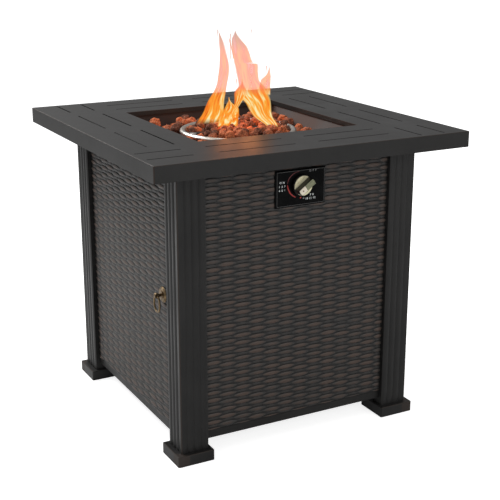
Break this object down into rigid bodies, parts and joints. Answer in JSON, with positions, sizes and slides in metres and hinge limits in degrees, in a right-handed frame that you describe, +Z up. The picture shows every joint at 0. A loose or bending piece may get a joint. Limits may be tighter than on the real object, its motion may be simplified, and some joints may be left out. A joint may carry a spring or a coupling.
{
  "type": "fire pit table",
  "caption": "Square metal gas fire pit table with a slotted top, ring burner in a bed of lava rock, fluted legs, woven-look panels and a hinged door over the cylinder bay.",
  "frame": {"origin": "centre of the base on the ground, in the plane of the feet's undersides", "axes": "+Z up; -Y is the front with the control knob, -X is the side with the door, whose hinges are at +Y"},
  "size_m": [0.711, 0.711, 0.646],
  "materials": {
    "charcoal_powder_coat": "satin charcoal powder coat",
    "rubbed_copper_coat": "satin charcoal powder coat, rubbed copper-brown on the edges",
    "woven_look_coat": "embossed weave, charcoal with copper-brown high spots",
    "zinc_steel": "zinc plated",
    "nylon": "matte",
    "black_plastic": "matte",
    "antique_brass": "antique, brushed high spots",
    "black_gloss": "gloss black with printed marks",
    "champagne_metal": "satin champagne with a black grip",
    "brass": "machined",
    "silicone_wire": "matte",
    "white_ceramic": "unglazed",
    "copper": "drawn copper",
    "aluminium_tube": "drawn",
    "black_iron": "cast, oiled",
    "stainless_steel": "brushed, heat tinted",
    "heat_brown_steel": "matt high-temperature coat, browned by heat",
    "galvanised_sheet": "galvanised",
    "black_fasteners": "black oxide",
    "lava_rock": "porous, red-brown"
  },
  "bodies": {
    "table": {"tabletop": "charcoal_powder_coat", "top_rail_front": "charcoal_powder_coat", "top_rail_right": "charcoal_powder_coat", "top_rail_rear": "charcoal_powder_coat", "top_rail_left": "charcoal_powder_coat", "bottom_rail_front": "charcoal_powder_coat", "bottom_rail_right": "charcoal_powder_coat", "bottom_rail_rear": "charcoal_powder_coat", "bottom_rail_left": "charcoal_powder_coat", "leg_front_left": "rubbed_copper_coat", "leg_front_right": "rubbed_copper_coat", "leg_rear_right": "rubbed_copper_coat", "leg_rear_left": "rubbed_copper_coat", "foot_front_left": "rubbed_copper_coat", "foot_front_right": "rubbed_copper_coat", "foot_rear_right": "rubbed_copper_coat", "foot_rear_left": "rubbed_copper_coat", "front_panel": "woven_look_coat", "right_panel": "woven_look_coat", "rear_panel": "woven_look_coat", "hinge_brackets": "charcoal_powder_coat", "hinge_pins": "zinc_steel", "hinge_washer": "nylon", "catch_magnet": "black_plastic", "control_plate": "black_gloss", "gas_valve": "brass", "gas_inlet": "brass", "piezo_igniter": "black_plastic", "ignition_wire": "silicone_wire", "spark_electrode": "white_ceramic", "thermocouple": "copper", "igniter_bracket": "stainless_steel", "gas_tube": "aluminium_tube", "flare_nuts": "brass", "gas_injector": "brass", "air_mixer": "zinc_steel", "burner_elbow": "black_iron", "burner_nipple": "zinc_steel", "burner_locknuts": "zinc_steel", "burner_ring": "stainless_steel", "burner_supports": "stainless_steel", "fire_pan": "heat_brown_steel", "heat_shield": "galvanised_sheet", "shield_standoffs": "zinc_steel", "tank_shelf": "charcoal_powder_coat", "tank_collar": "charcoal_powder_coat", "frame_bolts": "black_fasteners", "frame_nuts": "zinc_steel", "sheet_screws": "black_fasteners", "lava_rocks": "lava_rock"},
    "door": {"door": "woven_look_coat", "catch_strike": "zinc_steel", "pull_rosette": "antique_brass", "pull_screw": "zinc_steel"},
    "ring_pull": {"pull_ring": "antique_brass"},
    "push_body": {"push_collar": "brass"},
    "knob": {"knob": "champagne_metal", "valve_stem": "brass"},
    "clamp_pad": {"clamp_pad": "zinc_steel"},
    "clamp_screw": {"clamp_screw": "zinc_steel"}
  },
  "joints": [
    {"name": "door_swing", "type": "hinge", "parent": "table", "child": "door", "pos_m": [-0.262, 0.206, 0.333], "axis": [0, 0, -1], "range_deg": [0, 95]},
    {"name": "ring_swing", "type": "hinge", "parent": "door", "child": "ring_pull", "pos_m": [-0.2815, -0.181, 0.337], "axis": [0, 1, 0], "range_deg": [-15, 95]},
    {"name": "knob_push", "type": "slide", "parent": "table", "child": "push_body", "axis": [0, 1, 0], "range_m": [0, 0.0035], "stiffness_N_per_m": 2500, "springref_m": -0.002},
    {"name": "knob_turn", "type": "hinge", "parent": "push_body", "child": "knob", "pos_m": [0, -0.286, 0.555], "axis": [0, -1, 0], "range_deg": [-128, 52]},
    {"name": "clamp_slide", "type": "slide", "parent": "table", "child": "clamp_pad", "axis": [1, 0, 0], "range_m": [0, 0.01]},
    {"name": "clamp_turn", "type": "hinge", "parent": "clamp_pad", "child": "clamp_screw", "pos_m": [-0.13, 0, 0.0525], "axis": [1, 0, 0], "range_deg": [0, 2890]}
  ],
  "couplings": [
    {"joint": "clamp_turn", "follows": "clamp_slide", "rad_per_m": 5026.5}
  ]
}
